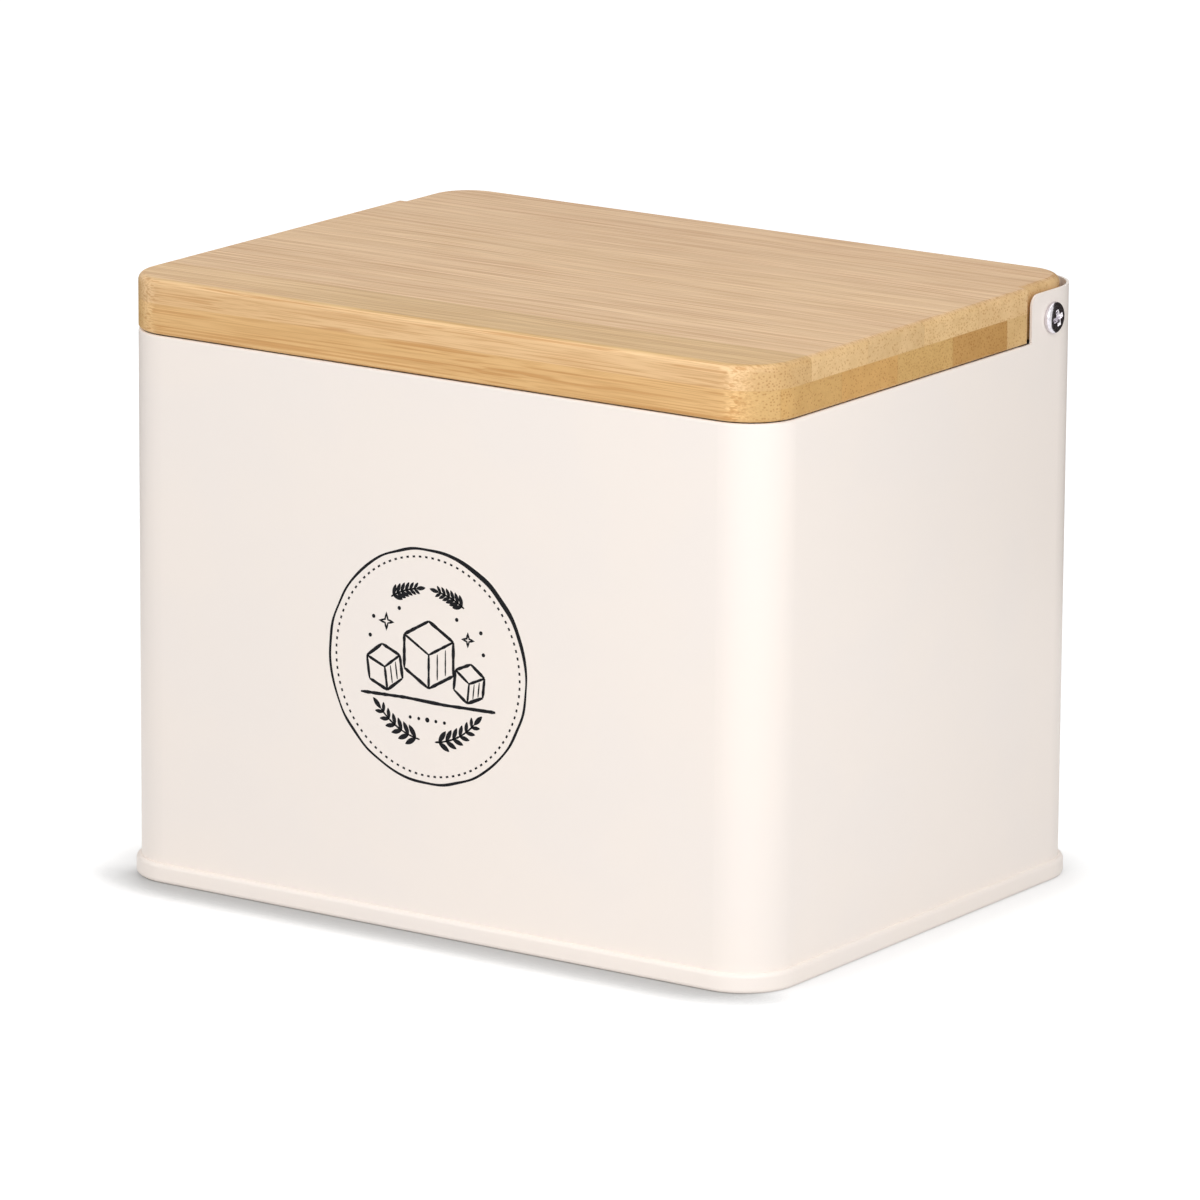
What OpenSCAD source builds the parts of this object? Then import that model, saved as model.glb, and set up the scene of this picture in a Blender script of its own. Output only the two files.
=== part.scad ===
// Salt box: a folded sheet steel box with a two-ply bamboo lid that turns on two screws.
// The origin is the centre of the base, on the surface that the box stands on.
// +X points to the right, +Y to the back and +Z up.

/* [Body] */
// Outside width of the steel box
body_w = 150; // [110:1:220]
// Outside depth of the steel box
body_d = 114; // [90:1:180]
// Height of the rim at the front and the sides
rim_h = 109; // [60:1:180]
// Outside radius of the four upright corners
corner_r = 10.5; // [8:0.5:16]
// Thickness of the wall's sheet
sheet_t = 0.5; // [0.4:0.05:0.7]
// Height of the hem that is folded in at the rim
hem_h = 5; // [3:0.5:8]
// Width of the upright lock seam in the middle of the back
lock_seam_w = 5; // [4:0.5:8]
// How far the lock seam stands out of the back
lock_seam_out = 0.8; // [0.5:0.1:1]

/* [Base] */
// Thickness of the base plate's sheet
base_t = 0.25; // [0.2:0.05:0.4]
// Height of the double seam that joins the base to the wall
seam_h = 3.8; // [3:0.1:6]
// Radius of the double seam's rounded outer edges
seam_edge_r = 0.8; // [0.5:0.05:1]
// Height of the base's sunk floor above the foot of the seam
floor_h = 2.6; // [1:0.1:2.7]
// Height of the wall's hook inside the double seam
hook_h = 2.4; // [1.5:0.1:2.5]

/* [Ears] */
// How far each ear runs ahead of the pivot
ear_front = 7.5; // [5.5:0.1:10]
// How far the ears' top edge lies below the top of the lid
ear_below_top = 1.6; // [0.8:0.1:3]
// Radius of the ears' top front corner
ear_corner_r = 2.4; // [1:0.1:4]
// Length of plain rim between the end of the hem and the ear
hem_end_gap = 4; // [1:0.5:10]

/* [Lid] */
// Thickness of the lid
lid_t = 10.8; // [9.5:0.1:16]
// Thickness of the top ply
top_ply_t = 4.8; // [3:0.1:5.5]
// Gap between the rim and the underside of the lid
lid_gap = 0.2; // [0.1:0.05:0.5]
// Radius of the lid's rounded top edge
top_edge_r = 1.5; // [0.5:0.1:2.5]
// Radius of the lid's rounded bottom edge
bottom_edge_r = 0.6; // [0.2:0.1:1.5]
// How far each side of the lid is cut back between the ears
tongue_inset = 1.5; // [1.2:0.1:3]
// Radius of the upright edge at each shoulder, where the cut-back starts
shoulder_r = 1; // [0.3:0.1:1.1]
// Width of one bamboo stave
stave_w = 19.4; // [12:0.2:30]
// Width of the first stave of the top ply, at the front
first_top_stave_w = 15.5; // [11:0.5:20]
// Width of the first stave of the under ply, at the front
first_under_stave_w = 6.4; // [2:0.2:10]

/* [Hinge] */
// Flat length of side wall between the pivot and the start of the rear corner
pivot_flat = 3; // [2.5:0.1:8]
// Height of the pivot above the underside of the lid
pivot_up = 3.8; // [2.5:0.1:5]
// Least gap between the lid and the wall while the lid swings
swing_gap = 0.25; // [0.2:0.05:0.8]
// Diameter of the screw's shank
screw_d = 3.4; // [2.5:0.1:4]
// Length of the screw under its head
screw_l = 16; // [10:1:30]
// Length of the screw's pointed tip
screw_tip_l = 3; // [1:0.5:5]
// Diameter of the screw's pan head
head_d = 6.2; // [5:0.1:8]
// Height of the head's straight edge
head_edge_h = 0.9; // [0.5:0.1:1.5]
// Height of the head's dome above its edge
head_dome_h = 1.1; // [0.5:0.1:1.5]
// Length of the cross recess's slots
recess_l = 3.4; // [2:0.1:4]
// Width of the cross recess's slots
recess_w = 0.8; // [0.5:0.1:1.2]
// Depth of the cross recess
recess_depth = 1.2; // [0.5:0.1:1.5]
// Radial clearance of the shank in the ear's hole
hole_play = 0.06; // [0.02:0.01:0.1]
// Gap between the screw's head and the ear
head_play = 0.1; // [0.05:0.05:0.3]
// Diameter of the washer between the ear and the lid
washer_d = 7.2; // [6:0.1:8]
// Gap between the washer and the ear
washer_play = 0.2; // [0.1:0.05:0.4]

/* [Hidden] */
$fn = 96;
// Overlap of cutting bodies past the faces that they cut
cut = 1;

// Heights, from the rim up
lid_z = rim_h + lid_gap;
lid_top_z = lid_z + lid_t;
pivot_z = lid_z + pivot_up;
ear_top_z = lid_top_z - ear_below_top;
top_above_pivot = lid_top_z - pivot_z;
ear_above_pivot = ear_top_z - pivot_z;

// Places along the depth, from the pivot outwards
pivot_y = body_d / 2 - corner_r - pivot_flat;
ear_y = pivot_y - ear_front;
hem_end_y = ear_y - hem_end_gap;
// The ears' front corners pass behind the lid's shoulders as the lid swings
ear_reach = norm([ear_front - ear_corner_r, ear_above_pivot - ear_corner_r]) + ear_corner_r;
shoulder_y = pivot_y - ear_reach - swing_gap;
// The rounded rear edge of the lid sweeps past the inside of the back wall
rear_sweep = corner_r + pivot_flat - sheet_t - swing_gap - top_edge_r;
tongue_y = pivot_y + top_edge_r + sqrt(pow(rear_sweep, 2) - pow(top_above_pivot - top_edge_r, 2));

tongue_w = body_w - 2 * tongue_inset;
tongue_corner_r = corner_r - tongue_inset;
lid_l = tongue_y + body_d / 2;
washer_t = tongue_inset - sheet_t - washer_play;
hole_r = screw_d / 2 + hole_play;

// The double seam's layers stand outside the wall: base sheet, wall's hook, base sheet
seam_out = 2 * base_t + sheet_t;
seam_in = sheet_t + base_t;

// A last stave is never narrower than a quarter of a whole one
function stave_count(first_w) = 2 + floor((lid_l - first_w) / stave_w - 0.25);
function stave_start(first_w, i) = i == 1 ? 0 : first_w + (i - 2) * stave_w;
function stave_end(first_w, i) = i == stave_count(first_w) ? lid_l : stave_start(first_w, i + 1);

top_staves = stave_count(first_top_stave_w);
under_staves = stave_count(first_under_stave_w);

steel_color = [0.94, 0.91, 0.88];
top_stave_colors = [[0.87, 0.73, 0.54], [0.85, 0.70, 0.50]];
under_stave_colors = [[0.76, 0.59, 0.36], [0.70, 0.52, 0.30]];

// Shared shapes

// A rectangle with round corners, about the origin
module rounded_rect(w, d, r) {
    square([w, d - 2 * r], center = true);
    square([w - 2 * r, d], center = true);
    for (x = [-1, 1], y = [-1, 1])
        translate([x * (w / 2 - r), y * (d / 2 - r)]) circle(r);
}

// The box's outline in plan, moved outwards by grow
module body_outline(grow) {
    rounded_rect(body_w + 2 * grow, body_d + 2 * grow, corner_r + grow);
}

// Sweeps a profile round a rounded rectangle: its x = 0 follows the outline and its y points up
module swept_round(w, d, r) {
    for (side = [0 : 3]) {
        reach = (side % 2 == 0 ? w : d) / 2;
        run = (side % 2 == 0 ? d : w) - 2 * r;
        rotate([0, 0, 90 * side]) {
            translate([reach, run / 2, 0]) rotate([90, 0, 0]) linear_extrude(run) children();
            translate([reach - r, run / 2, 0])
                rotate_extrude(angle = 90) translate([r, 0]) children();
        }
    }
}

// Lays a profile drawn in y and z across the whole width of the box
module across_width() {
    rotate([90, 0, 90]) translate([0, 0, -body_w]) linear_extrude(2 * body_w) children();
}

// Turns a shape built along +Z so that it points to +X on the right, or to -X on the left
module at_pivot(side) {
    mirror([side < 0 ? 1 : 0, 0, 0])
        translate([body_w / 2, pivot_y, pivot_z]) rotate([0, 90, 0]) children();
}

// Steel box

// The wall from the side: the rim, the plain stretch past the hem, and the ear with its round corner
module wall_side() {
    translate([-body_d, 0]) square([body_d + hem_end_y, rim_h - sheet_t]);
    translate([hem_end_y, 0]) square([body_d, rim_h]);
    translate([ear_y, 0]) square([body_d, ear_top_z - ear_corner_r]);
    translate([ear_y + ear_corner_r, 0]) square([body_d, ear_top_z]);
    translate([ear_y + ear_corner_r, ear_top_z - ear_corner_r]) circle(ear_corner_r);
}

// The sheet of the wall, raised at the back and cut down along the front and the sides
module wall_sheet() {
    intersection() {
        translate([0, 0, base_t])
            linear_extrude(ear_top_z - base_t)
                difference() {
                    body_outline(0);
                    body_outline(-sheet_t);
                }
        across_width() wall_side();
    }
}

// The fold at the rim and the leg that hangs down inside, in section
module hem_profile() {
    translate([-sheet_t, rim_h - sheet_t])
        intersection() {
            circle(sheet_t);
            translate([-sheet_t, 0]) square([2 * sheet_t, sheet_t]);
        }
    translate([-2 * sheet_t, rim_h - hem_h]) square([sheet_t, hem_h - sheet_t]);
}

// The hem runs round the front from ear to ear, and stops short of them so that the lid can swing in
module rim_hem() {
    intersection() {
        swept_round(body_w, body_d, corner_r) hem_profile();
        translate([-body_w, -body_d, 0]) cube([2 * body_w, body_d + hem_end_y, rim_h + cut]);
    }
}

// The outline of the rolled bead in section, moved inwards by inset
module bead_outline(inset) {
    r = seam_edge_r - inset;
    translate([-seam_in, inset])
        square([seam_in + seam_out - seam_edge_r, seam_h - 2 * inset]);
    translate([0, seam_edge_r]) square([seam_out - inset, seam_h - 2 * seam_edge_r]);
    for (y = [seam_edge_r, seam_h - seam_edge_r])
        translate([seam_out - seam_edge_r, y]) circle(r);
}

// The wall's lower edge, turned out and up inside the double seam, in section
module hook_profile() {
    intersection() {
        union() {
            translate([-sheet_t, base_t]) square([seam_out, sheet_t]);
            translate([base_t, base_t]) square([sheet_t, hook_h]);
        }
        bead_outline(base_t);
    }
}

// The folded seam that closes the wall at the back
module lock_seam() {
    chamfer = lock_seam_out / 2;
    translate([0, body_d / 2, seam_h])
        linear_extrude(ear_top_z - seam_h)
            polygon([
                [-lock_seam_w / 2, -sheet_t / 2],
                [lock_seam_w / 2, -sheet_t / 2],
                [lock_seam_w / 2, lock_seam_out - chamfer],
                [lock_seam_w / 2 - chamfer, lock_seam_out],
                [-lock_seam_w / 2 + chamfer, lock_seam_out],
                [-lock_seam_w / 2, lock_seam_out - chamfer],
            ]);
}

module body_wall() {
    color(steel_color)
        difference() {
            union() {
                wall_sheet();
                rim_hem();
                swept_round(body_w, body_d, corner_r) hook_profile();
                lock_seam();
            }
            for (side = [-1, 1])
                at_pivot(side)
                    translate([0, 0, -2 * sheet_t]) cylinder(h = 3 * sheet_t, r = hole_r);
        }
}

// The rolled bead of the double seam in section, less the space that the wall's sheet fills
module seam_profile() {
    difference() {
        bead_outline(0);
        hook_profile();
        translate([-sheet_t, base_t]) square([sheet_t, seam_h]);
    }
}

// The pan that closes the box: its sunk floor and the seam that it stands on
module base_plate() {
    color(steel_color) {
        swept_round(body_w, body_d, corner_r) seam_profile();
        translate([0, 0, floor_h]) linear_extrude(base_t) body_outline(-sheet_t - base_t / 2);
    }
}

// Bamboo lid

// The edge of a plate in section, from its outer face at x = 0 inwards
module edge_profile(depth) {
    translate([-depth, 0]) square([depth - top_edge_r, lid_t]);
    translate([-top_edge_r, 0]) square([top_edge_r - bottom_edge_r, lid_t - top_edge_r]);
    translate([-bottom_edge_r, bottom_edge_r])
        square([bottom_edge_r, lid_t - top_edge_r - bottom_edge_r]);
    translate([-top_edge_r, lid_t - top_edge_r]) circle(top_edge_r);
    translate([-bottom_edge_r, bottom_edge_r]) circle(bottom_edge_r);
}

// A plate with round corners in plan and rounded edges
module rounded_plate(w, d, r) {
    swept_round(w, d, r) edge_profile(r);
    translate([-(w / 2 - r), -(d / 2 - r), 0]) cube([w - 2 * r, d - 2 * r, lid_t]);
}

// The part of a plate that the lid's outline ahead of the shoulders leaves, in plan
module shoulder_plan() {
    translate([-body_w / 2, -body_d])
        square([body_w, body_d + shoulder_y - shoulder_r]);
    translate([-body_w / 2 + shoulder_r, -body_d])
        square([body_w - 2 * shoulder_r, body_d + shoulder_y]);
    for (x = [-1, 1])
        translate([x * (body_w / 2 - shoulder_r), shoulder_y - shoulder_r]) circle(shoulder_r);
}

// The whole board: flush with the box ahead of the shoulders, narrower between the ears.
// The narrow part starts inside the wide one, so that the two are one board.
module lid_board() {
    translate([0, 0, lid_z]) {
        intersection() {
            rounded_plate(body_w, body_d, corner_r);
            translate([0, 0, -cut]) linear_extrude(lid_t + 2 * cut) shoulder_plan();
        }
        intersection() {
            translate([0, tongue_y - body_d / 2, 0])
                rounded_plate(tongue_w, body_d, tongue_corner_r);
            translate([-body_w, shoulder_y - corner_r, -cut])
                cube([2 * body_w, body_d, lid_t + 2 * cut]);
        }
    }
}

// One stave of the board, between two depths from the front and two heights from the underside
module stave(start, end, low, high) {
    difference() {
        intersection() {
            lid_board();
            translate([-body_w, start - body_d / 2, lid_z + low])
                cube([2 * body_w, end - start, high - low]);
        }
        for (side = [-1, 1]) at_pivot(side) screw_shank();
    }
}

module top_stave(i) {
    color(top_stave_colors[i % 2])
        stave(stave_start(first_top_stave_w, i), stave_end(first_top_stave_w, i),
            lid_t - top_ply_t, lid_t);
}

module under_stave(i) {
    color(under_stave_colors[i % 2])
        stave(stave_start(first_under_stave_w, i), stave_end(first_under_stave_w, i),
            0, lid_t - top_ply_t);
}

// Hinge

// The shank and its pointed tip, along -Z from the underside of the head
module screw_shank() {
    translate([0, 0, head_play]) mirror([0, 0, 1]) {
        cylinder(h = screw_l - screw_tip_l, d = screw_d);
        translate([0, 0, screw_l - screw_tip_l])
            cylinder(h = screw_tip_l, d1 = screw_d, d2 = screw_d / 6);
    }
}

// The pan head: a straight edge under a shallow dome, with a cross recess
module screw_head() {
    head_h = head_edge_h + head_dome_h;
    dome_r = (pow(head_d / 2, 2) + pow(head_dome_h, 2)) / (2 * head_dome_h);
    translate([0, 0, head_play])
        difference() {
            intersection() {
                cylinder(h = head_h, d = head_d);
                translate([0, 0, head_h - dome_r]) sphere(dome_r);
            }
            for (turn = [0, 90])
                rotate([0, 0, turn])
                    translate([-recess_l / 2, -recess_w / 2, head_h - recess_depth])
                        cube([recess_l, recess_w, recess_depth + cut]);
        }
}

module pivot_screw(side) {
    color("silver")
        at_pivot(side) {
            screw_shank();
            screw_head();
        }
}

// The washer that lies against the side of the lid and keeps it off the ear
module hinge_washer(side) {
    color("white")
        at_pivot(side)
            translate([0, 0, -tongue_inset])
                difference() {
                    cylinder(h = washer_t, d = washer_d);
                    translate([0, 0, -cut]) cylinder(h = washer_t + 2 * cut, r = hole_r);
                }
}

body_wall();
base_plate();
for (i = [1 : top_staves])
    top_stave(i);
for (i = [1 : under_staves])
    under_stave(i);
pivot_screw(1);  // pivot_screw_right
pivot_screw(-1);  // pivot_screw_left
hinge_washer(1);  // hinge_washer_right
hinge_washer(-1);  // hinge_washer_left
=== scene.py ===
"""Cream enamelled salt box with a hinged bamboo lid.

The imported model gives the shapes. This script dresses the steel box and the staves of the lid,
prints the round badge on the front, makes the two hinge screws and sets up the camera and the
studio.
"""

import logging
import math
import random
from dataclasses import dataclass, field
from enum import Enum
from typing import Dict, Iterable, List, Mapping, Optional, Sequence, Tuple, Union

import bpy
from mathutils import Matrix, Vector


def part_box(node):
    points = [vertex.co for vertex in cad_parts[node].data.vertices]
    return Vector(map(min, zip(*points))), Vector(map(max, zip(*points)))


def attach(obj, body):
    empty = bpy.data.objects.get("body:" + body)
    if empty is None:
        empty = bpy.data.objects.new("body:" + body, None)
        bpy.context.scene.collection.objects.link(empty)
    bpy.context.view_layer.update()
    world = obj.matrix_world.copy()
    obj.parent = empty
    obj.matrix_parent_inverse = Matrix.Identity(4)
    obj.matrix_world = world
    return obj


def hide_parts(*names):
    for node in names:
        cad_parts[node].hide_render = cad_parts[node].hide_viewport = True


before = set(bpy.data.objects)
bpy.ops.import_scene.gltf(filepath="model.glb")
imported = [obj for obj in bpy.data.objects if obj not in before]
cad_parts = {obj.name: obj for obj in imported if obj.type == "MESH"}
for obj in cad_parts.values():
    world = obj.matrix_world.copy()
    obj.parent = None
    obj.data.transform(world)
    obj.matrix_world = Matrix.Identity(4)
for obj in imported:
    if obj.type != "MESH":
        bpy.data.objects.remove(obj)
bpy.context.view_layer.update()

LOG = logging.getLogger("salt_box")
MM = 0.001
PHOTO_SIDE_PX = 1200

Colour = Tuple[float, float, float]
Point = Tuple[float, float]
Face = Tuple[int, ...]


# Shader helpers


class Wire:
    """One output of a shader node, so that shader maths reads as a Python expression."""

    def __init__(self, plan: "ShaderPlan", socket: bpy.types.NodeSocket) -> None:
        """Keeps the socket.

        Args:
            plan: The plan that the socket's node belongs to.
            socket: The output that gives the value.
        """
        self.plan = plan
        self.socket = socket

    def __add__(self, other: "Value") -> "Wire":
        """Gives self + other."""
        return self.plan.maths("ADD", self, other)

    def __radd__(self, other: "Value") -> "Wire":
        """Gives other + self."""
        return self.plan.maths("ADD", other, self)

    def __sub__(self, other: "Value") -> "Wire":
        """Gives self - other."""
        return self.plan.maths("SUBTRACT", self, other)

    def __rsub__(self, other: "Value") -> "Wire":
        """Gives other - self."""
        return self.plan.maths("SUBTRACT", other, self)

    def __mul__(self, other: "Value") -> "Wire":
        """Gives self * other."""
        return self.plan.maths("MULTIPLY", self, other)

    def __rmul__(self, other: "Value") -> "Wire":
        """Gives other * self."""
        return self.plan.maths("MULTIPLY", other, self)

    def at_least(self, other: "Value") -> "Wire":
        """Gives the larger of self and other."""
        return self.plan.maths("MAXIMUM", self, other)

    def at_most(self, other: "Value") -> "Wire":
        """Gives the smaller of self and other."""
        return self.plan.maths("MINIMUM", self, other)


Value = Union[Wire, float, int]
Input = Union[Wire, float, int, Sequence[float]]


class ShaderPlan:
    """The nodes of one material or of the world."""

    def __init__(self, tree: bpy.types.NodeTree) -> None:
        """Starts from an empty tree.

        Args:
            tree: The node tree to fill.
        """
        self.tree = tree
        tree.nodes.clear()

    def node(
        self,
        kind: str,
        settings: Optional[Mapping[str, object]] = None,
        inputs: Optional[Mapping[Union[str, int], Input]] = None,
        output: Union[str, int] = 0,
    ) -> Wire:
        """Adds one node.

        Args:
            kind: The node's type name.
            settings: Its options, which are set first.
            inputs: Values or wires for its sockets, by name or by number.
            output: The output that the caller wants.

        Returns:
            That output.
        """
        return Wire(self, self._add(kind, settings or {}, inputs or {}).outputs[output])

    def end(self, kind: str, surface: Wire) -> None:
        """Adds the output node that ends the plan.

        Args:
            kind: The output node's type name.
            surface: The shader that it shows.
        """
        self._add(kind, {}, {"Surface": surface})

    def _add(
        self, kind: str, settings: Mapping[str, object], inputs: Mapping[Union[str, int], Input]
    ) -> bpy.types.Node:
        """Adds a node, sets its options and fills its sockets."""
        made = self.tree.nodes.new(kind)
        for name, value in settings.items():
            setattr(made, name, value)
        for name, value in inputs.items():
            self._feed(made.inputs[name], value)
        return made

    def _feed(self, socket: bpy.types.NodeSocket, value: Input) -> None:
        """Links a wire to a socket, or sets the socket's own value."""
        if isinstance(value, Wire):
            self.tree.links.new(value.socket, socket)
        elif isinstance(value, (int, float)):
            socket.default_value = value
        else:
            filled = tuple(value) + (1.0,)
            socket.default_value = filled[: len(socket.default_value)]

    def maths(self, operation: str, a: Value, b: Value) -> Wire:
        """Adds a Math node on two numbers."""
        return self.node("ShaderNodeMath", {"operation": operation}, {0: a, 1: b})

    def vector(self, operation: str, a: Input, b: Input) -> Wire:
        """Adds a Vector Math node on two vectors."""
        return self.node("ShaderNodeVectorMath", {"operation": operation}, {0: a, 1: b})

    def mix(self, factor: Value, a: Input, b: Input, blend: str = "MIX") -> Wire:
        """Mixes two colours.

        Args:
            factor: The share of the second colour.
            a: The first colour.
            b: The second colour.
            blend: The way that they are blended.

        Returns:
            The mixed colour.
        """
        settings = {"data_type": "RGBA", "blend_type": blend, "clamp_factor": True}
        return self.node("ShaderNodeMix", settings, {0: factor, 6: a, 7: b}, 2)

    def ease(self, value: Value, start: float, end: float) -> Wire:
        """Maps start to 0 and end to 1 along a smooth step."""
        return self.node(
            "ShaderNodeMapRange",
            {"interpolation_type": "SMOOTHSTEP"},
            {"Value": value, "From Min": start, "From Max": end},
        )

    def place(self) -> Wire:
        """Gives the place on the piece at rest, in metres, in the model's frame."""
        return self.node("ShaderNodeTexCoord", output="Object")

    def grid(self, place: Wire, size_mm: float) -> Wire:
        """Scales a place so that one unit is a feature of the given size."""
        return self.vector("MULTIPLY", place, (1 / (size_mm * MM),) * 3)

    def noise(self, place: Wire, detail: float = 2.0, roughness: float = 0.5) -> Wire:
        """Gives cloudy noise with features of about one unit of place."""
        inputs = {"Vector": place, "Scale": 1.0, "Detail": detail, "Roughness": roughness}
        return self.node("ShaderNodeTexNoise", None, inputs)

    def bump(self, height: Wire, depth: float, strength: float = 1.0) -> Wire:
        """Gives a normal that is tilted by a height, whose range of 1 is depth metres deep."""
        inputs = {"Height": height, "Distance": depth, "Strength": strength}
        return self.node("ShaderNodeBump", None, inputs)


def new_material(name: str) -> Tuple[bpy.types.Material, ShaderPlan]:
    """Makes a material with an empty plan.

    Args:
        name: The material's name.

    Returns:
        The material and its plan.
    """
    material = bpy.data.materials.new(name)
    material.use_nodes = True
    return material, ShaderPlan(material.node_tree)


def finish_surface(plan: ShaderPlan, inputs: Mapping[Union[str, int], Input]) -> None:
    """Ends a plan in one Principled surface with these inputs."""
    surface = plan.node("ShaderNodeBsdfPrincipled", None, inputs)
    plan.end("ShaderNodeOutputMaterial", surface)


def shade(colour: Colour, factor: float) -> Colour:
    """Scales a colour."""
    return tuple(factor * part for part in colour)


# Finishes


@dataclass(frozen=True)
class EnamelFinish:
    """Cream enamel on sheet steel, satin, with a faint ripple left by the spray."""

    name: str = "cream_enamel"
    tone: Colour = (0.940, 0.862, 0.805)
    cloud_tone: Colour = (0.952, 0.868, 0.803)
    cloud_mm: float = 22.0
    ripple_mm: float = 1.6
    ripple_depth_mm: float = 0.006
    roughness: float = 0.46
    roughness_spread: float = 0.08

    def material(self) -> bpy.types.Material:
        """Builds the enamel."""
        material, plan = new_material(self.name)
        place = plan.place()
        cloud = plan.noise(plan.grid(place, self.cloud_mm), detail=1.0)
        ripple = plan.noise(plan.grid(place, self.ripple_mm), detail=1.5)
        finish_surface(plan, {
            "Base Color": plan.mix(plan.ease(cloud, 0.35, 0.65), self.tone, self.cloud_tone),
            "Roughness": self.roughness + (ripple - 0.5) * self.roughness_spread,
            "IOR": 1.5,
            "Normal": plan.bump(ripple, self.ripple_depth_mm * MM),
        })
        return material


@dataclass(frozen=True)
class BambooFinish:
    """Lacquered bamboo with its fibres along X, for one stave.

    The pattern fills the stave's solid, so the ends show the cut bundles as dots and the other
    faces show the same bundles as long thin streaks.
    """

    name: str
    tone: Colour
    seed: float
    low: Vector
    high: Vector
    face_tint: Colour
    end_tint: Colour
    roughness: float = 0.44
    fibre_roughness: float = 0.16
    bundle_roughness: float = 0.05
    dark: Colour = (0.64, 0.52, 0.38)
    deep: Colour = (0.62, 0.42, 0.22)
    light: Colour = (1.05, 1.07, 1.12)
    base_shade: float = 0.97
    wave_mm: Tuple[float, float] = (60.0, 30.0)
    wave_reach_mm: float = 3.0
    broad_mm: Tuple[float, float] = (110.0, 6.0)
    band_mm: Tuple[float, float] = (48.0, 1.5)
    fibre_mm: Tuple[float, float] = (15.0, 0.24)
    line_mm: Tuple[float, float] = (55.0, 0.42)
    bundle_mm: Tuple[float, float] = (24.0, 0.58)
    bundle_scatter: float = 0.80
    bundle_edge: Tuple[float, float] = (0.16, 0.42)
    glue_mm: float = 0.30
    tint_start_mm: float = -55.0
    tint_end_mm: float = -15.0
    tint_least: float = 0.45
    bump_mm: float = 0.010
    bump_strength: float = 0.8

    def _grain(self, plan: ShaderPlan, place: Wire, size_mm: Tuple[float, float]) -> Wire:
        """Stretches the place along the fibres.

        Args:
            plan: The plan to add to.
            place: The place in metres.
            size_mm: The size of a feature along the fibres and across them.

        Returns:
            The stretched place, moved by the stave's seed.
        """
        along_mm, across_mm = size_mm
        across = 1 / (across_mm * MM)
        scaled = plan.vector("MULTIPLY", place, (1 / (along_mm * MM), across, across))
        return plan.vector("ADD", scaled, (self.seed, 1.7 * self.seed, 2.3 * self.seed))

    def _waved(self, plan: ShaderPlan) -> Wire:
        """Gives the place with the fibres drawn a little out of line."""
        place = plan.place()
        wave = plan.noise(self._grain(plan, place, self.wave_mm), detail=1.0)
        sideways = (wave - 0.5) * (self.wave_reach_mm * MM)
        drift = plan.node("ShaderNodeCombineXYZ", None, {"Y": sideways})
        return plan.vector("ADD", place, drift)

    def _tinted_run(self, plan: ShaderPlan) -> Wire:
        """Gives how far the tint of the upper face has come in along the stave."""
        along = plan.node("ShaderNodeSeparateXYZ", None, {0: plan.place()}, "X")
        run = plan.ease(along, self.tint_start_mm * MM, self.tint_end_mm * MM)
        return self.tint_least + run * (1 - self.tint_least)

    def _facing(self, plan: ShaderPlan, axis: str, start: float, end: float) -> Wire:
        """Gives how squarely a face looks along an axis, either way, eased from start to end."""
        normal = plan.node("ShaderNodeTexCoord", output="Normal")
        along = plan.node("ShaderNodeSeparateXYZ", None, {0: normal}, axis)
        return plan.ease(along.at_least(0 - along), start, end)

    def _bundles(self, plan: ShaderPlan, place: Wire) -> Wire:
        """Gives the dark fibre bundles: dots on the ends and fine lines elsewhere."""
        cells = plan.node(
            "ShaderNodeTexVoronoi",
            {"feature": "F1"},
            {
                "Vector": self._grain(plan, place, self.bundle_mm),
                "Scale": 1.0,
                "Randomness": self.bundle_scatter,
            },
        )
        return 1 - plan.ease(cells, *self.bundle_edge)

    def _glue(self, plan: ShaderPlan) -> Wire:
        """Gives the thin darker line where the stave meets its neighbours."""
        parts = plan.node("ShaderNodeSeparateXYZ", None, {0: plan.place()}, "Y")
        nearest = (parts - self.low.y).at_most(self.high.y - parts)
        return 1 - plan.ease(nearest, 0.0, self.glue_mm * MM)

    def material(self) -> bpy.types.Material:
        """Builds the bamboo of this stave."""
        material, plan = new_material(self.name)
        place = self._waved(plan)
        broad = plan.noise(self._grain(plan, place, self.broad_mm), detail=1.0)
        band = plan.noise(self._grain(plan, place, self.band_mm), detail=2.5, roughness=0.6)
        fibre = plan.noise(self._grain(plan, place, self.fibre_mm), detail=2.0)
        line = plan.noise(self._grain(plan, place, self.line_mm), detail=1.0)
        bundles = self._bundles(plan, place)
        ends = self._facing(plan, "X", 0.25, 0.8)
        faces = self._facing(plan, "Z", 0.70, 0.98)
        along = 1 - ends

        dark, deep, light = (
            tuple(a * b for a, b in zip(self.tone, factor))
            for factor in (self.dark, self.deep, self.light)
        )
        colour = plan.mix(plan.ease(broad, 0.3, 0.7), shade(self.tone, self.base_shade), light)
        colour = plan.mix(plan.ease(band, 0.44, 0.70) * (0.14 + along * 0.16), colour, dark)
        colour = plan.mix(plan.ease(fibre, 0.42, 0.68) * (0.16 + along * 0.34), colour, dark)
        colour = plan.mix(plan.ease(line, 0.54, 0.61) * along * 0.56, colour, deep)
        colour = plan.mix(bundles * (0.05 + ends * 0.55), colour, deep)
        colour = plan.mix(self._glue(plan) * (0.16 + along * 0.16), colour, dark)
        colour = plan.mix(ends, colour, self.end_tint, "MULTIPLY")
        colour = plan.mix(faces * self._tinted_run(plan), colour, self.face_tint, "MULTIPLY")

        finish_surface(plan, {
            "Base Color": colour,
            "Roughness": (
                self.roughness
                + (fibre - 0.5) * self.fibre_roughness
                + bundles * self.bundle_roughness
            ),
            "IOR": 1.48,
            "Normal": plan.bump(fibre - bundles * 0.2, self.bump_mm * MM, self.bump_strength),
        })
        return material


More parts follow.
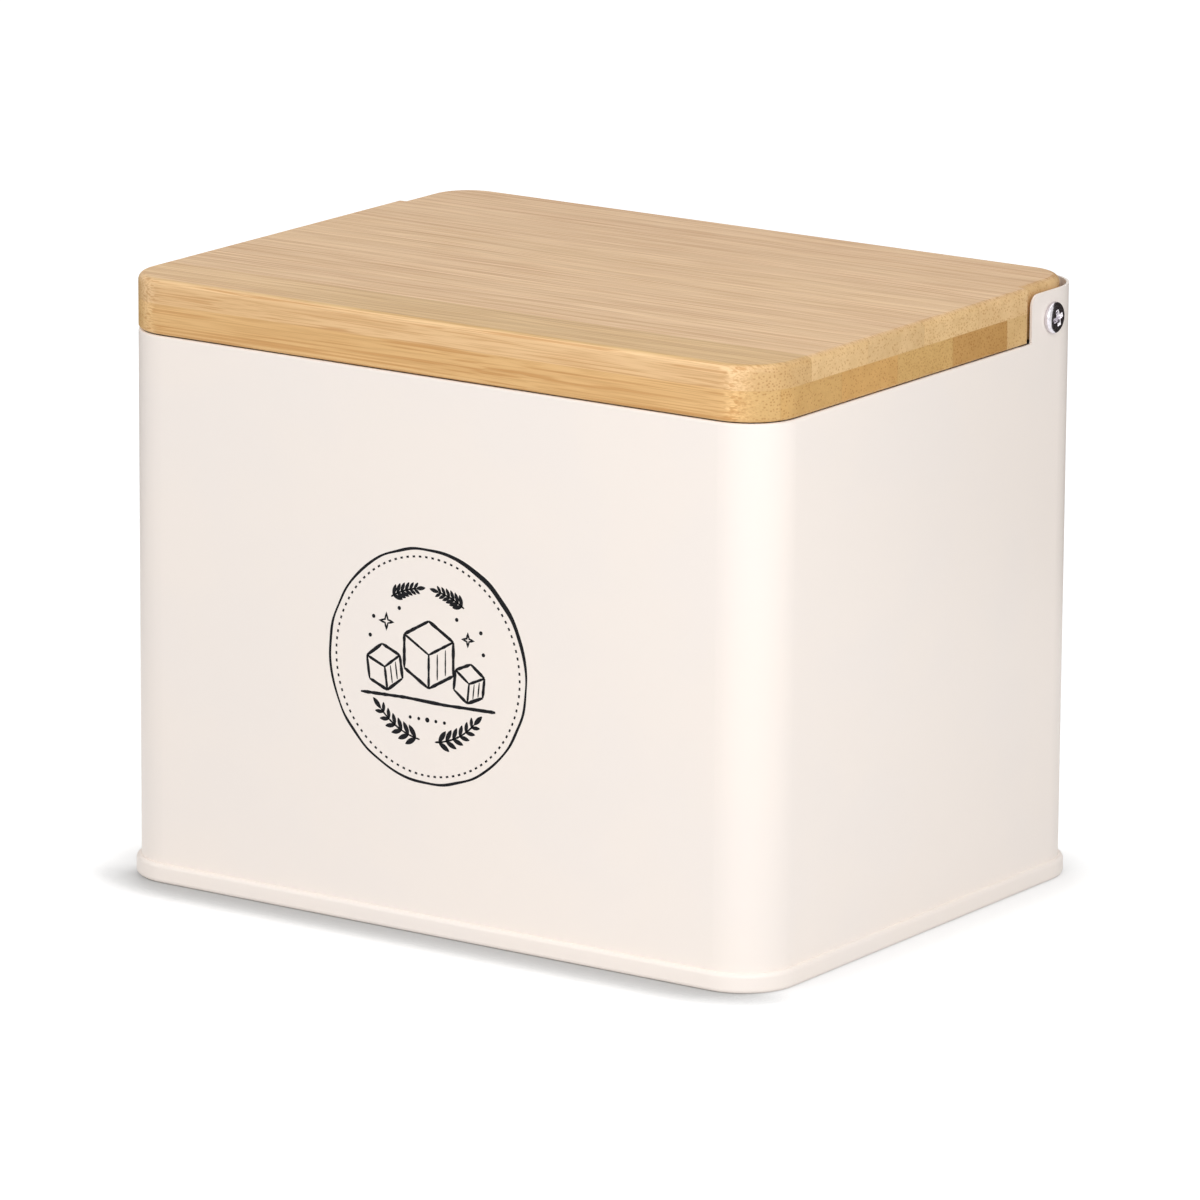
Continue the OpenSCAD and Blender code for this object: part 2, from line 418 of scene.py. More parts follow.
@dataclass(frozen=True)
class PlatedSteelFinish:
    """Nickel-plated steel of the screws, a little dulled in patches by handling."""

    name: str = "nickel_plate"
    tone: Colour = (0.74, 0.71, 0.75)
    dull_tone: Colour = (0.64, 0.61, 0.65)
    roughness: float = 0.17
    roughness_spread: float = 0.08
    wear_mm: float = 0.5
    wear_depth_mm: float = 0.0006

    def material(self) -> bpy.types.Material:
        """Builds the plated steel."""
        material, plan = new_material(self.name)
        wear = plan.noise(plan.grid(plan.place(), self.wear_mm), detail=2.0)
        finish_surface(plan, {
            "Base Color": plan.mix(plan.ease(wear, 0.4, 0.7), self.tone, self.dull_tone),
            "Metallic": 1.0,
            "Roughness": self.roughness + (wear - 0.5) * self.roughness_spread,
            "Normal": plan.bump(wear, self.wear_depth_mm * MM),
        })
        return material


@dataclass(frozen=True)
class NylonFinish:
    """Milky nylon of the hinge washers."""

    name: str = "milky_nylon"
    tone: Colour = (0.80, 0.79, 0.75)
    roughness: float = 0.45
    speck_mm: float = 0.6

    def material(self) -> bpy.types.Material:
        """Builds the nylon."""
        material, plan = new_material(self.name)
        cloud = plan.noise(plan.grid(plan.place(), self.speck_mm))
        finish_surface(plan, {
            "Base Color": plan.mix(cloud, self.tone, shade(self.tone, 0.92)),
            "Roughness": self.roughness + (cloud - 0.5) * 0.1,
            "Subsurface Weight": 0.15,
            "Subsurface Radius": (0.4, 0.4, 0.35),
            "Subsurface Scale": 0.5 * MM,
        })
        return material


@dataclass(frozen=True)
class InkFinish:
    """Black screen-printing ink, slightly thin in places."""

    name: str = "black_ink"
    tone: Colour = (0.005, 0.005, 0.007)
    thin_tone: Colour = (0.028, 0.027, 0.030)
    grain_mm: float = 0.5
    roughness: float = 0.50

    def material(self) -> bpy.types.Material:
        """Builds the ink."""
        material, plan = new_material(self.name)
        grain = plan.noise(plan.grid(plan.place(), self.grain_mm), detail=3.0, roughness=0.6)
        finish_surface(plan, {
            "Base Color": plan.mix(plan.ease(grain, 0.52, 0.75), self.tone, self.thin_tone),
            "Roughness": self.roughness + (grain - 0.5) * 0.15,
            "Specular IOR Level": 0.12,
        })
        return material


# Meshes


class MeshDraft:
    """Points and faces that are gathered before they become one mesh."""

    def __init__(self) -> None:
        """Starts empty."""
        self.points: List[Vector] = []
        self.faces: List[Face] = []

    def add_points(self, points: Iterable[Vector]) -> List[int]:
        """Adds points and gives their numbers."""
        first = len(self.points)
        self.points.extend(Vector(point) for point in points)
        return list(range(first, len(self.points)))

    def bridge(self, lower: Sequence[int], upper: Sequence[int], closed: bool = True) -> None:
        """Joins two rows of points with quads.

        Args:
            lower: The first row.
            upper: The second row, with as many points.
            closed: Whether the last point of a row is followed by the first.
        """
        count = len(lower)
        for i in range(count if closed else count - 1):
            j = (i + 1) % count
            self.faces.append((lower[i], lower[j], upper[j], upper[i]))

    def build(self, name: str, material: bpy.types.Material, smooth: bool) -> bpy.types.Object:
        """Makes the object.

        Args:
            name: The object's name.
            material: Its finish.
            smooth: Whether its faces shade smoothly.

        Returns:
            The object, linked to the scene.
        """
        mesh = bpy.data.meshes.new(name)
        mesh.from_pydata([tuple(point) for point in self.points], [], self.faces)
        mesh.materials.append(material)
        mesh.validate()
        for polygon in mesh.polygons:
            polygon.use_smooth = smooth
        mesh.update()
        piece = bpy.data.objects.new(name, mesh)
        bpy.context.scene.collection.objects.link(piece)
        return piece


def dress(node: str, material: bpy.types.Material) -> None:
    """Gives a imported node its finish.

    Args:
        node: The node's name.
        material: The finish for all its faces.
    """
    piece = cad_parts[node]
    piece.data.materials.clear()
    piece.data.materials.append(material)
    LOG.info("%s wears %s", node, material.name)


# The steel box


@dataclass
class SteelBox:
    """The enamelled wall and base plate."""

    nodes: Tuple[str, ...] = ("body_wall", "base_plate")
    finish: EnamelFinish = field(default_factory=EnamelFinish)

    def build(self) -> None:
        """Dresses the wall and the base plate."""
        material = self.finish.material()
        for node in self.nodes:
            dress(node, material)


# The printed badge


class InkSheet:
    """Flat ink shapes on the front of the box, drawn in millimetres about the badge's centre."""

    def __init__(self, centre: Point, front_y: float, lift: float, bite: float) -> None:
        """Places the sheet.

        Args:
            centre: The badge's centre, x and z, in metres.
            front_y: The front face of the wall, in metres.
            lift: How far the ink stands out of the wall, in metres.
            bite: How far its back lies inside the wall, in metres.
        """
        self.centre = centre
        self.outer_y = front_y - lift
        self.inner_y = front_y + bite
        self.draft = MeshDraft()

    def _row(self, points: Sequence[Point], y: float) -> List[int]:
        """Adds a row of points at one depth."""
        return self.draft.add_points(
            Vector((self.centre[0] + x * MM, y, self.centre[1] + z * MM)) for x, z in points
        )

    def band(self, left: Sequence[Point], right: Sequence[Point], closed: bool) -> None:
        """Adds a closed solid band of ink between two lines.

        Args:
            left: The line on the left of the stroke's direction.
            right: The line on its right, with as many points.
            closed: Whether the stroke runs round to its own start.
        """
        left_out, right_out = self._row(left, self.outer_y), self._row(right, self.outer_y)
        left_in, right_in = self._row(left, self.inner_y), self._row(right, self.inner_y)
        self.draft.bridge(right_out, left_out, closed)
        self.draft.bridge(left_out, left_in, closed)
        self.draft.bridge(left_in, right_in, closed)
        self.draft.bridge(right_in, right_out, closed)
        if not closed:
            self.draft.faces.append((left_out[0], left_in[0], right_in[0], right_out[0]))
            self.draft.faces.append((right_out[-1], right_in[-1], left_in[-1], left_out[-1]))

    def stroke(self, line: Sequence[Point], widths: Sequence[float], closed: bool = False) -> None:
        """Adds a pen stroke along a line.

        Args:
            line: The stroke's middle line.
            widths: Its width at each point.
            closed: Whether it runs round to its own start.
        """
        count = len(line)
        left: List[Point] = []
        right: List[Point] = []
        for i, (x, z) in enumerate(line):
            if closed:
                before, after = line[i - 1], line[(i + 1) % count]
            else:
                before, after = line[max(i - 1, 0)], line[min(i + 1, count - 1)]
            along = Vector((after[0] - before[0], after[1] - before[1])).normalized()
            half = widths[i] / 2
            left.append((x - along.y * half, z + along.x * half))
            right.append((x + along.y * half, z - along.x * half))
        self.band(left, right, closed)

    def spot(self, centre: Point, radius: float, sides: int = 14) -> None:
        """Adds a round dot of ink."""
        turn = [2 * math.pi * i / sides for i in range(sides)]
        rim = [
            (centre[0] + radius * math.cos(a), centre[1] + radius * math.sin(a)) for a in turn
        ]
        outer, inner = self._row(rim, self.outer_y), self._row(rim, self.inner_y)
        self.draft.faces.append(tuple(outer))
        self.draft.faces.append(tuple(reversed(inner)))
        self.draft.bridge(inner, outer)


@dataclass
class PrintedBadge:
    """A plain round badge: a hand-drawn ring, a dashed ring, sprigs and a heap of salt crystals."""

    front_y: float = -57.0 * MM
    centre_x: float = -1.1 * MM
    centre_z: float = 52.7 * MM
    ring_r: float = 22.9
    ring_thin: float = 0.34
    ring_thick: float = 0.66
    ring_heavy: float = 0.62
    heavy_deg: float = 47.0
    heavy_span_deg: float = 26.0
    ring_steps: int = 420
    dash_r: float = 21.4
    dash_count: int = 92
    dash_share: float = 0.40
    dash_w: float = 0.40
    pen_w: float = 0.66
    fine_pen_w: float = 0.36
    lift: float = 0.02 * MM
    bite: float = 0.05 * MM
    crystals: Tuple[Tuple[float, float, float, float], ...] = (
        (0.3, 2.4, 6.6, 0),
        (-10.0, -1.4, 4.5, 8),
        (9.7, -1.9, 3.9, -6),
    )
    ground: Tuple[Point, ...] = ((-15.6, -7.0), (-5, -6.7), (4, -6.9), (15.8, -6.6))
    sparkles: Tuple[Tuple[float, float, float], ...] = ((-9.6, 7.6, 1.7), (9.4, 6.6, 1.4))
    grains: Tuple[Point, ...] = (
        (-13.4, 4.4), (13.0, 4.2), (-6.6, 10.6), (6.8, 10.2), (-12.6, 8.2), (12.4, 8.4),
    )
    grain_r: float = 0.40
    lower_sprig: Tuple[float, Point, float] = (14.6, (277, 318), 3.0)
    upper_sprig: Tuple[float, Point, float] = (15.2, (56, 80), 2.4)
    row_dots: int = 5
    row_step: float = 2.0
    row_z: float = -10.4
    row_r: float = 0.34
    row_middle_r: float = 0.50
    seed: int = 11
    finish: InkFinish = field(default_factory=InkFinish)

    def __post_init__(self) -> None:
        """Starts the sheet of ink on the wall's front face."""
        self.chance = random.Random(self.seed)
        centre = (self.centre_x, self.centre_z)
        self.sheet = InkSheet(centre, self.front_y, self.lift, self.bite)

    def _waves(self, count: int, reach: float) -> List[Tuple[int, float, float]]:
        """Draws the waves of a hand's wobble: how many a turn, how large, and where each starts."""
        return [
            (self.chance.randint(2, 23), reach * self.chance.uniform(0.3, 1.0),
             self.chance.uniform(0, 2 * math.pi))
            for _ in range(count)
        ]

    @staticmethod
    def _sum_waves(waves: Sequence[Tuple[int, float, float]], angle: float) -> float:
        """Adds up the waves at one angle."""
        return sum(size * math.sin(times * angle + start) for times, size, start in waves)

    def _outer_ring(self) -> None:
        """Draws the uneven outer ring, heaviest at its upper right."""
        wobble, weight = self._waves(5, 0.035), self._waves(6, 0.34)
        line: List[Point] = []
        widths: List[float] = []
        for i in range(self.ring_steps):
            turn = 360 * i / self.ring_steps
            angle = math.radians(turn)
            radius = self.ring_r + self._sum_waves(wobble, angle)
            share = 0.5 + 0.5 * math.tanh(self._sum_waves(weight, angle))
            off = (turn - self.heavy_deg + 180) % 360 - 180
            heavy = self.ring_heavy * math.exp(-((off / self.heavy_span_deg) ** 2))
            line.append((radius * math.cos(angle), radius * math.sin(angle)))
            widths.append(self.ring_thin + (self.ring_thick - self.ring_thin) * share + heavy)
        self.sheet.stroke(line, widths, closed=True)

    def _dashed_ring(self) -> None:
        """Draws the ring of short dashes inside it."""
        step = 2 * math.pi / self.dash_count
        for i in range(self.dash_count):
            angles = [step * (i + self.dash_share * part / 3) for part in range(4)]
            line = [(self.dash_r * math.cos(a), self.dash_r * math.sin(a)) for a in angles]
            self.sheet.stroke(line, [self.dash_w] * len(line))

    def _pen(self, line: Sequence[Point], width: float, closed: bool = False) -> None:
        """Draws a line by hand: points are added along it, and the pen's pressure varies."""
        fine: List[Point] = []
        ends = list(line) + ([line[0]] if closed else [])
        for (x0, z0), (x1, z1) in zip(ends, ends[1:]):
            pieces = max(2, int(math.hypot(x1 - x0, z1 - z0) / 0.8))
            fine.extend(
                (x0 + (x1 - x0) * i / pieces, z0 + (z1 - z0) * i / pieces) for i in range(pieces)
            )
        if not closed:
            fine.append(ends[-1])
        widths = [width * self.chance.uniform(0.82, 1.18) for _ in fine]
        if not closed:
            widths[0] *= 0.55
            widths[-1] *= 0.55
        self.sheet.stroke(fine, widths, closed)

    def _crystal(self, x: float, z: float, size: float, turn_deg: float) -> None:
        """Draws one cube of salt in outline, seen from a corner, with two strokes of shade.

        Args:
            x: The cube's middle, to the right.
            z: The cube's middle, upwards.
            size: The length of an edge.
            turn_deg: How far the cube leans to the left.
        """
        corners = [
            (
                x + size * math.cos(math.radians(60 * i + 30 + turn_deg)),
                z + size * math.sin(math.radians(60 * i + 30 + turn_deg)),
            )
            for i in range(6)
        ]
        for i in range(6):
            self._pen([corners[i], corners[(i + 1) % 6]], self.pen_w)
        for i in (0, 2, 4):
            self._pen([(x, z), corners[i]], self.pen_w * 0.8)
        for share in (0.35, 0.68):
            top = [a + share * (b - a) for a, b in zip((x, z), corners[0])]
            foot = [a + share * (b - a) for a, b in zip(corners[4], corners[5])]
            rise = [(a + 0.12 * (b - a), a + 0.88 * (b - a)) for a, b in zip(top, foot)]
            self._pen([(rise[0][0], rise[1][0]), (rise[0][1], rise[1][1])], self.fine_pen_w * 0.8)

    def _leaf(self, x: float, z: float, length: float, turn: float) -> None:
        """Draws one filled leaf that starts at a point and runs in the direction of turn."""
        steps = 8
        line, widths = [], []
        for i in range(steps + 1):
            share = i / steps
            line.append(
                (x + length * share * math.cos(turn), z + length * share * math.sin(turn))
            )
            widths.append(0.10 + 0.34 * length * math.sin(math.pi * share) ** 0.8)
        self.sheet.stroke(line, widths)

    def _sprig(self, side: int, radius: float, turn: Tuple[float, float], leaf: float) -> None:
        """Draws one curved sprig with leaves on both sides.

        Args:
            side: 1 for the right half and -1 for the left.
            radius: The radius of its stem about the badge's centre.
            turn: Where the stem starts and ends, in degrees from the right, anticlockwise.
            leaf: The length of its first leaves.
        """
        steps = 12
        stem: List[Point] = []
        for i in range(steps + 1):
            angle = math.radians(turn[0] + (turn[1] - turn[0]) * i / steps)
            stem.append((side * radius * math.cos(angle), radius * math.sin(angle)))
        self._pen(stem, self.fine_pen_w)
        for i in range(1, steps, 2):
            x, z = stem[i]
            onward = math.atan2(stem[i + 1][1] - z, stem[i + 1][0] - x)
            for lean in (-0.75, 0.75):
                self._leaf(x, z, leaf * (1 - 0.03 * i), onward + lean)
        last = math.atan2(stem[-1][1] - stem[-2][1], stem[-1][0] - stem[-2][0])
        self._leaf(*stem[-1], 0.9 * leaf, last)

    def _sparkle(self, x: float, z: float, size: float) -> None:
        """Draws a small four-pointed glint."""
        waist = 0.28 * size
        rim: List[Point] = []
        for i in range(8):
            reach = size if i % 2 == 0 else waist
            angle = math.pi * i / 4
            rim.append((x + reach * math.cos(angle), z + reach * math.sin(angle)))
        self._pen(rim, self.fine_pen_w, closed=True)

    def build(self) -> None:
        """Draws the badge and puts it on the box."""
        self._outer_ring()
        self._dashed_ring()
        for crystal in self.crystals:
            self._crystal(*crystal)
        self._pen(self.ground, self.pen_w)
        for sparkle in self.sparkles:
            self._sparkle(*sparkle)
        for place in self.grains:
            self.sheet.spot(place, self.grain_r)
        for side in (-1, 1):
            self._sprig(side, *self.lower_sprig)
            self._sprig(side, *self.upper_sprig)
        middle = self.row_dots // 2
        for i in range(self.row_dots):
            radius = self.row_middle_r if i == middle else self.row_r
            self.sheet.spot(((i - middle) * self.row_step, self.row_z), radius)
        piece = self.sheet.draft.build("front_badge_ink", self.finish.material(), smooth=False)
        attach(piece, "box")
        LOG.info("%s has %d faces", piece.name, len(self.sheet.draft.faces))


# The bamboo lid


class Ply(Enum):
    """The two layers of the lid."""

    TOP = "top_stave"
    UNDER = "under_stave"


@dataclass
class BambooLid:
    """The staves of both plies, each with its own tone and its own run of the grain."""

    top_tones: Tuple[Colour, ...] = (
        (0.910, 0.610, 0.312),
        (0.806, 0.532, 0.274),
        (0.812, 0.538, 0.280),
        (0.818, 0.544, 0.281),
        (0.806, 0.532, 0.277),
        (0.792, 0.516, 0.266),
    )
    under_tones: Tuple[Colour, ...] = (
        (0.888, 0.570, 0.250),
        (0.693, 0.400, 0.152),
        (0.690, 0.395, 0.145),
        (0.700, 0.406, 0.150),
        (0.588, 0.316, 0.105),
        (0.735, 0.458, 0.203),
        (0.630, 0.358, 0.131),
    )
    plain_face_tint: Colour = (1.0, 1.0, 1.0)
    front_face_tint: Colour = (0.78, 0.745, 0.58)
    top_end_tints: Tuple[Colour, ...] = (
        (0.73, 0.69, 0.57),
        (0.96, 0.97, 0.89),
        (0.91, 0.92, 0.85),
        (0.97, 0.98, 0.90),
        (0.99, 1.00, 0.93),
        (0.95, 0.96, 0.88),
    )
    under_end_tints: Tuple[Colour, ...] = (
        (0.75, 0.73, 0.63),
        (0.90, 0.92, 0.80),
        (0.95, 0.94, 0.82),
        (0.92, 0.97, 0.90),
        (0.95, 0.96, 0.87),
        (0.99, 1.03, 1.00),
        (1.02, 1.04, 1.02),
    )
    seed_step: float = 7.31
    under_seed: float = 40.0

    def build(self) -> None:
        """Dresses every stave. The front top stave's upper face is tinted darker and browner than
        its front face, less so towards its left end.
        """
        plies = (
            (Ply.TOP, self.top_tones, self.top_end_tints),
            (Ply.UNDER, self.under_tones, self.under_end_tints),
        )
        for ply, tones, end_tints in plies:
            for number, (tone, end_tint) in enumerate(zip(tones, end_tints), start=1):
                node = f"{ply.value}_{number}"
                low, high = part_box(node)
                front_top = ply is Ply.TOP and number == 1
                finish = BambooFinish(
                    name=f"bamboo_{node}",
                    tone=tone,
                    seed=self.seed_step * number + (self.under_seed if ply is Ply.UNDER else 0.0),
                    low=low,
                    high=high,
                    face_tint=self.front_face_tint if front_top else self.plain_face_tint,
                    end_tint=end_tint,
                )
                dress(node, finish.material())


# The hinge


class Side(Enum):
    """The two ends of the hinge."""

    RIGHT = 1
    LEFT = -1

    @property
    def word(self) -> str:
        """The side's word in the nodes' names."""
        return self.name.lower()


@dataclass
class PivotScrew:
    """A pan head screw with a cross recess that stands in for the plain imported one.

    Sizes are in millimetres. The head's underside lies at height 0 and the shank runs to below it.
    """

    side: Side
    finish: bpy.types.Material
    head_r: float = 3.1
    seat_h: float = 2.0
    head_h: float = 1.30
    edge_h: float = 0.35
    foot_r: float = 0.12
    shoulder_power: float = 2.9
    shank_r: float = 1.7
    shank_l: float = 16.0
    tip_l: float = 3.0
    wing_reach: float = 1.66
    wing_half_w: float = 0.52
    wing_taper: float = 0.26
    wing_fade: float = 0.80
    recess_depth: float = 1.05
    rings: int = 72
    ring_crowding: float = 1.5
    ring_reach: float = 0.996
    spokes: int = 192
    right_turn_deg: float = 17.0
    left_turn_deg: float = 48.0

    def _dome(self, radius: float) -> float:
        """Gives the height of the head's top at a radius."""
        share = min(radius / self.head_r, 1.0)
        rise = (1 - share ** self.shoulder_power) ** (1 / self.shoulder_power)
        return self.edge_h + (self.head_h - self.edge_h) * rise

    def _recess(self, u: float, v: float) -> float:
        """Gives the depth of the cross recess at a place on the head."""
        deepest = 0.0
        for along, across in ((u, v), (v, u)):
            wall = (self.wing_half_w - abs(across)) / self.wing_taper
            run = (self.wing_reach - abs(along)) / self.wing_fade
            depth = max(0.0, min(1.0, wall)) * max(0.0, min(1.0, run)) ** 0.6
            deepest = max(deepest, depth)
        return self.recess_depth * deepest

    def _ring(self, draft: MeshDraft, radius: float, height: Optional[float]) -> List[int]:
        """Adds one ring of points, on the head's top where no height is given."""
        points = []
        for i in range(self.spokes):
            angle = 2 * math.pi * i / self.spokes
            u, v = radius * math.cos(angle), radius * math.sin(angle)
            top = self._dome(radius) - self._recess(u, v) if height is None else height
            points.append(Vector((u, v, top)) * MM)
        return draft.add_points(points)

    def _profile(self) -> List[Point]:
        """Gives the turned profile from the tip up to the head's edge, as radius and height."""
        tip = self.shank_l
        return [
            (self.shank_r / 6, -tip),
            (self.shank_r, -tip + self.tip_l),
            (self.shank_r, -0.25),
            (self.shank_r + 0.08, -0.08),
            (self.shank_r + 0.25, 0.0),
            (self.head_r - self.foot_r, 0.0),
            (self.head_r - 0.3 * self.foot_r, 0.3 * self.foot_r),
            (self.head_r, self.foot_r),
            (self.head_r, 0.7 * self.edge_h),
        ]

    def build(self) -> None:
        """Turns the screw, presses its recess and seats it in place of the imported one."""
        node = f"pivot_screw_{self.side.word}"
        draft = MeshDraft()
        rows = [self._ring(draft, radius, height) for radius, height in self._profile()]
        for i in range(self.rings):
            inward = self.ring_reach * (i / (self.rings - 1)) ** self.ring_crowding
            rows.append(self._ring(draft, self.head_r * (1 - inward), None))
        for lower, upper in zip(rows, rows[1:]):
            draft.bridge(lower, upper)
        draft.faces.append(tuple(reversed(rows[0])))
        draft.faces.append(tuple(rows[-1]))

        low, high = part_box(node)
        outer_x = high.x if self.side is Side.RIGHT else low.x
        seat_x = outer_x - self.side.value * self.seat_h * MM
        middle_y, middle_z = (low.y + high.y) / 2, (low.z + high.z) / 2
        turn = Matrix.Rotation(math.radians(90 * self.side.value), 4, "Y")
        turn_deg = self.right_turn_deg if self.side is Side.RIGHT else self.left_turn_deg
        spin = Matrix.Rotation(math.radians(turn_deg), 4, "Z")
        seat = Matrix.Translation((seat_x, middle_y, middle_z)) @ turn @ spin
        draft.points = [seat @ point for point in draft.points]

        piece = draft.build(f"pan_head_screw_{self.side.word}", self.finish, smooth=True)
        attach(piece, "lid")
        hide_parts(node)
        LOG.info("%s stands for %s", piece.name, node)


@dataclass
class Hinge:
    """The two screws and their washers."""

    steel: PlatedSteelFinish = field(default_factory=PlatedSteelFinish)
    nylon: NylonFinish = field(default_factory=NylonFinish)

    def build(self) -> None:
        """Makes the screws and dresses the washers."""
        steel, nylon = self.steel.material(), self.nylon.material()
        for side in Side:
            PivotScrew(side, steel).build()
            dress(f"hinge_washer_{side.word}", nylon)


# The studio


@dataclass
class StudioCamera:
    """The camera, with the long lens and the place that fit the photograph."""

    azimuth_deg: float = 34.383
    elevation_deg: float = 13.693
    roll_deg: float = 0.383
    distance: float = 1.7234
    aim_right: float = -0.00004
    aim_up: float = 0.05317
    focal_px: float = 8768.0
    sensor_mm: float = 36.0

    def build(self) -> None:
        """Makes the camera and looks through it."""
        az, el = math.radians(self.azimuth_deg), math.radians(self.elevation_deg)
        roll = math.radians(self.roll_deg)
        back = Vector((math.sin(az) * math.cos(el), -math.cos(az) * math.cos(el), math.sin(el)))
        level = Vector((math.cos(az), math.sin(az), 0.0))
        rise = back.cross(level)
        right = math.cos(roll) * level + math.sin(roll) * rise
        up = -math.sin(roll) * level + math.cos(roll) * rise
        data = bpy.data.cameras.new("studio_camera")
        data.sensor_width = self.sensor_mm
        data.lens = self.sensor_mm * self.focal_px / PHOTO_SIDE_PX
        data.clip_start, data.clip_end = 0.05, 50.0
        camera = bpy.data.objects.new("studio_camera", data)
        camera.matrix_world = Matrix.Translation(
            back * self.distance + right * self.aim_right + up * self.aim_up
        ) @ Matrix((right, up, back)).transposed().to_4x4()
        bpy.context.scene.collection.objects.link(camera)
        bpy.context.scene.camera = camera
        LOG.info("camera with a %.0f mm lens", data.lens)


@dataclass(frozen=True)
class Softbox:
    """One soft lamp that points at the box."""

    name: str
    place: Tuple[float, float, float]
    width: float
    height: float
    watts: float
    tint: Colour = (1.0, 1.0, 1.0)
    aim: Tuple[float, float, float] = (0.0, 0.0, 0.06)

    def build(self) -> None:
        """Makes the lamp."""
        data = bpy.data.lights.new(self.name, "AREA")
        data.shape = "RECTANGLE"
        data.size, data.size_y = self.width, self.height
        data.energy = self.watts
        data.color = self.tint
        lamp = bpy.data.objects.new(self.name, data)
        lamp.location = self.place
        towards = Vector(self.aim) - Vector(self.place)
        lamp.rotation_euler = towards.to_track_quat("-Z", "Y").to_euler()
        bpy.context.scene.collection.objects.link(lamp)


@dataclass(frozen=True)
class Flag:
    """A dark card near the box that only glossy surfaces see, so that their shapes read."""

    name: str
    place: Tuple[float, float]
    facing_deg: float
    width: float
    foot: float
    height: float

    def build(self, material: bpy.types.Material) -> None:
        """Hangs the card above the floor.

        Args:
            material: The card's black.
        """
        turn = math.radians(self.facing_deg)
        along = Vector((math.cos(turn), math.sin(turn), 0.0)) * (self.width / 2)
        foot = Vector((*self.place, self.foot))
        rise = Vector((0.0, 0.0, self.height))
        draft = MeshDraft()
        corners = (foot - along, foot + along, foot + along + rise, foot - along + rise)
        draft.faces.append(tuple(draft.add_points(corners)))
        card = draft.build(self.name, material, smooth=False)
        for sight in ("camera", "diffuse", "transmission", "volume_scatter", "shadow"):
            setattr(card, f"visible_{sight}", False)


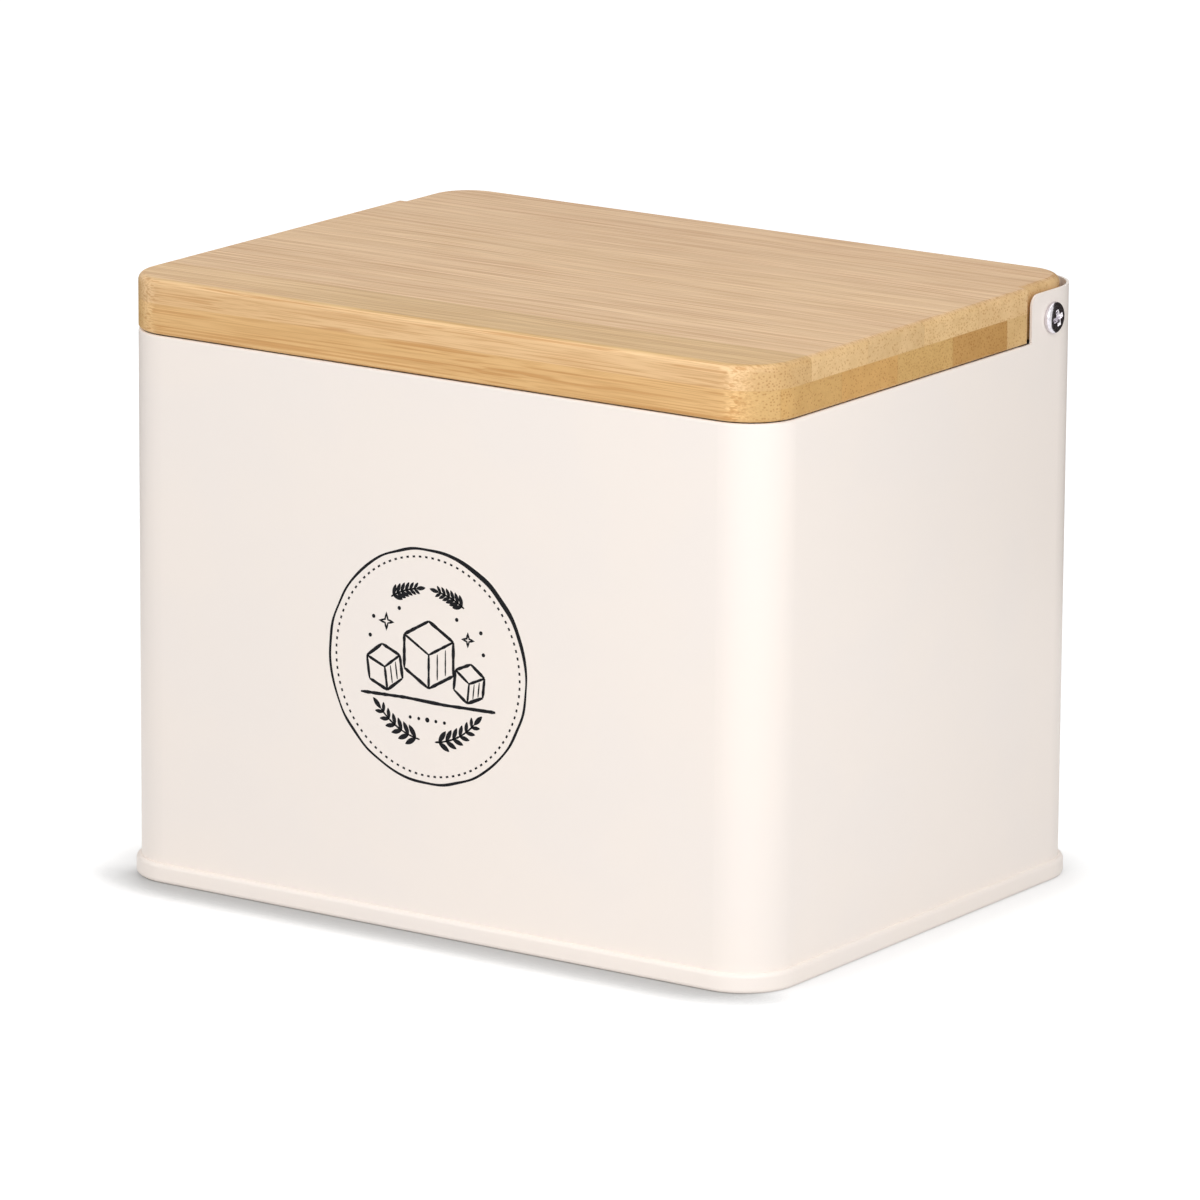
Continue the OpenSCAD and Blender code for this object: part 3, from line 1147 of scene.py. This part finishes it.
@dataclass
class Studio:
    """The pale floor, the white surroundings, the lamps and the flags."""

    floor_half: float = 6.0
    floor_tone: Colour = (0.70, 0.70, 0.70)
    floor_near_glow: float = 0.60
    floor_far_glow: float = 0.68
    contact_reach: float = 15.0 * MM
    contact_shade: float = 0.40
    contact_samples: int = 4
    contact_gain: float = 3.0
    contact_beside: float = 0.40
    contact_start: float = 48.0 * MM
    contact_full: float = 60.0 * MM
    floor_near: float = 0.15
    floor_far: float = 0.70
    ambient: float = 0.477
    flag_tone: Colour = (0.04, 0.035, 0.035)
    softboxes: Tuple[Softbox, ...] = (
        Softbox("key_softbox", (0.70, -1.30, 0.80), 1.0, 1.0, 4.2),
        Softbox("left_softbox", (-0.55, -1.25, 0.70), 0.9, 0.9, 4.65),
        Softbox("side_softbox", (0.42, -0.20, 0.28), 0.30, 0.30, 0.86),
        Softbox("top_softbox", (-0.10, 0.10, 1.50), 1.2, 1.2, 2.95),
    )
    flags: Tuple[Flag, ...] = (
        Flag("right_flag", (0.100, 0.132), 165.0, 0.180, 0.035, 0.20),
        Flag("left_flag", (-0.30, 0.10), 90.0, 0.34, 0.0, 0.11),
    )

    @staticmethod
    def _seen(plan: ShaderPlan) -> Wire:
        """Gives 1 for a ray from the camera, a gloss or a glass, and 0 for the rest."""
        path = plan.node("ShaderNodeLightPath", output="Is Camera Ray").socket.node
        rays = [
            Wire(plan, path.outputs[name])
            for name in ("Is Camera Ray", "Is Glossy Ray", "Is Transmission Ray")
        ]
        return rays[0].at_least(rays[1]).at_least(rays[2])

    def _surroundings(self) -> None:
        """Makes the world: an even soft light that looks white."""
        world = bpy.data.worlds.new("white_surroundings")
        world.use_nodes = True
        bpy.context.scene.world = world
        plan = ShaderPlan(world.node_tree)
        strength = self.ambient + self._seen(plan) * (1 - self.ambient)
        inputs = {"Color": (1.0, 1.0, 1.0), "Strength": strength}
        light = plan.node("ShaderNodeBackground", None, inputs)
        plan.end("ShaderNodeOutputWorld", light)

    def _contact(self, plan: ShaderPlan) -> Wire:
        """Gives the contact shadow on the floor, which is full only in front of the box.

        Args:
            plan: The floor's shader.

        Returns:
            1 at the foot of the front, less beside the box, and 0 in the open.
        """
        settings = {"samples": self.contact_samples}
        open_sky = plan.node(
            "ShaderNodeAmbientOcclusion", settings, {"Distance": self.contact_reach}, "AO"
        )
        across = plan.node("ShaderNodeSeparateXYZ", None, {0: plan.place()}, "Y")
        front = plan.ease(0 - across, self.contact_start, self.contact_full)
        share = self.contact_beside + front * (1 - self.contact_beside)
        return ((1 - open_sky) * self.contact_gain).at_most(1.0) * share

    def _floor(self) -> None:
        """Makes the floor, which looks white and keeps the box's soft shadow."""
        material, plan = new_material("pale_floor")
        contact = self._contact(plan)
        seen = self._seen(plan)
        dark = contact * seen * self.contact_shade
        tone = plan.mix(dark, self.floor_tone, (0.0, 0.0, 0.0))
        matt = plan.node("ShaderNodeBsdfDiffuse", None, {"Color": tone})
        reach = plan.node("ShaderNodeVectorMath", {"operation": "LENGTH"}, {0: plan.place()}, 1)
        far = plan.ease(reach, self.floor_near, self.floor_far)
        level = self.floor_near_glow + far * (self.floor_far_glow - self.floor_near_glow)
        glow = plan.node("ShaderNodeEmission", None, {
            "Color": (1.0, 1.0, 1.0),
            "Strength": seen * level * (1 - contact),
        })
        both = plan.node("ShaderNodeAddShader", None, {0: matt, 1: glow})
        plan.end("ShaderNodeOutputMaterial", both)
        draft = MeshDraft()
        half = self.floor_half
        corners = [(-half, -half, 0), (half, -half, 0), (half, half, 0), (-half, half, 0)]
        draft.faces.append(tuple(draft.add_points(Vector(corner) for corner in corners)))
        floor = draft.build("floor", material, smooth=False)

    def _flags(self) -> None:
        """Hangs the flags beside the box."""
        material, plan = new_material("flag_black")
        matt = plan.node("ShaderNodeBsdfDiffuse", None, {"Color": self.flag_tone})
        plan.end("ShaderNodeOutputMaterial", matt)
        for flag in self.flags:
            flag.build(material)

    def build(self) -> None:
        """Makes the floor, the surroundings, the lamps, the flags and the camera."""
        bpy.context.scene.view_settings.view_transform = "Standard"
        StudioCamera().build()
        self._surroundings()
        self._floor()
        self._flags()
        for softbox in self.softboxes:
            softbox.build()
        LOG.info("studio with %d softboxes and %d flags", len(self.softboxes), len(self.flags))


def main() -> None:
    """Builds the salt box and its studio."""
    logging.basicConfig(level=logging.INFO, format="%(name)s: %(message)s")
    Studio().build()
    SteelBox().build()
    PrintedBadge().build()
    BambooLid().build()
    Hinge().build()


if __name__ == "__main__":
    main()
